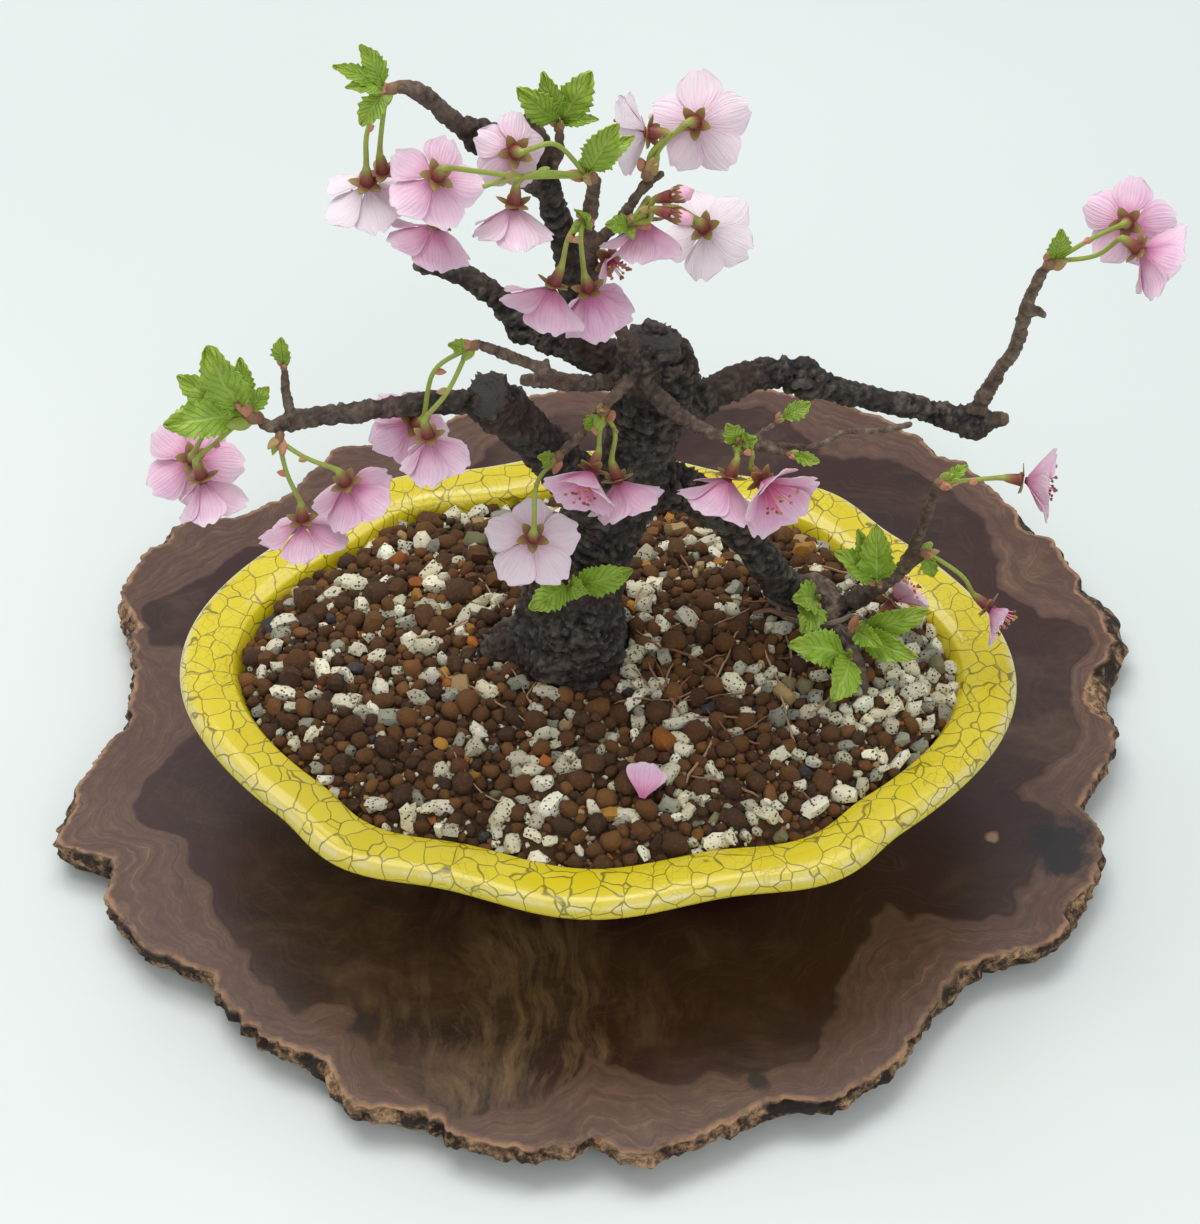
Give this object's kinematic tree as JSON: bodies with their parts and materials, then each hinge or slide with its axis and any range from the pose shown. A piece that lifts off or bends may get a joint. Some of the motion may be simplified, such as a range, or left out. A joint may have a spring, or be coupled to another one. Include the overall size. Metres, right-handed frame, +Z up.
{
  "type": "cherry blossom bonsai",
  "caption": "Cherry blossom bonsai in a lobed yellow crackle glazed pot with granular soil, standing on a live edge burl wood slab.",
  "frame": {"origin": "point on the underside of the wood slab below the middle of the pot", "axes": "+X along the pot's length towards the long right branch, +Y away from the viewer, +Z up"},
  "size_m": [0.3264, 0.3149, 0.2841],
  "materials": {
    "slab_wood": "satin lacquer over dark red brown burl",
    "yellow_glaze": "glossy crackle glaze",
    "black_mesh": "matte",
    "granules": "matte baked clay and pumice granules",
    "bark": "rough bark",
    "petals": "thin satin petals",
    "young_green": "soft young leaves and stalks"
  },
  "bodies": {
    "root": {"wood_slab": "slab_wood", "pot": "yellow_glaze", "drainage_screen_left": "black_mesh", "drainage_screen_right": "black_mesh", "soil": "granules", "tree_wood": "bark", "petals_crown_white": "petals", "petals_upper_left_back": "petals", "petals_upper_left_low": "petals", "petals_upper_left_behind": "petals", "petals_upper_left_near": "petals", "petals_upper_mid_left": "petals", "petals_upper_mid_right": "petals", "petals_crown_right_back": "petals", "petals_crown_right_left": "petals", "petals_mid_right_white": "petals", "petals_mid_right_pink": "petals", "petals_inner_small": "petals", "petals_far_left_back": "petals", "petals_far_left_hanging": "petals", "petals_left_hanging": "petals", "petals_left_right": "petals", "petals_front_left_back": "petals", "petals_front_left_near": "petals", "petals_front_low_white": "petals", "petals_front_mid_open": "petals", "petals_front_mid_hanging": "petals", "petals_front_right_hanging": "petals", "petals_front_right_open": "petals", "petals_right_tip_back": "petals", "petals_right_tip_side": "petals", "petals_low_side": "petals", "petals_low_shedding": "petals", "petals_low_hidden": "petals", "spray_crown_left": "young_green", "spray_upper_left": "young_green", "spray_upper_mid": "young_green", "spray_crown_right": "young_green", "spray_mid_right": "young_green", "spray_inner": "young_green", "spray_far_left": "young_green", "spray_left": "young_green", "spray_front_left": "young_green", "spray_front_low": "young_green", "spray_front_mid": "young_green", "spray_front_right": "young_green", "spray_right_tip": "young_green", "spray_low_side": "young_green", "spray_low_shedding": "young_green", "spray_low_hidden": "young_green", "leaves_top": "young_green", "leaves_left_spur": "young_green", "leaves_right_spur": "young_green", "leaves_right_twig": "young_green", "leaves_low_back": "young_green", "leaves_low_left": "young_green", "leaves_low_front": "young_green", "leaves_trunk": "young_green", "petal_fallen": "petals"}
  },
  "joints": []
}
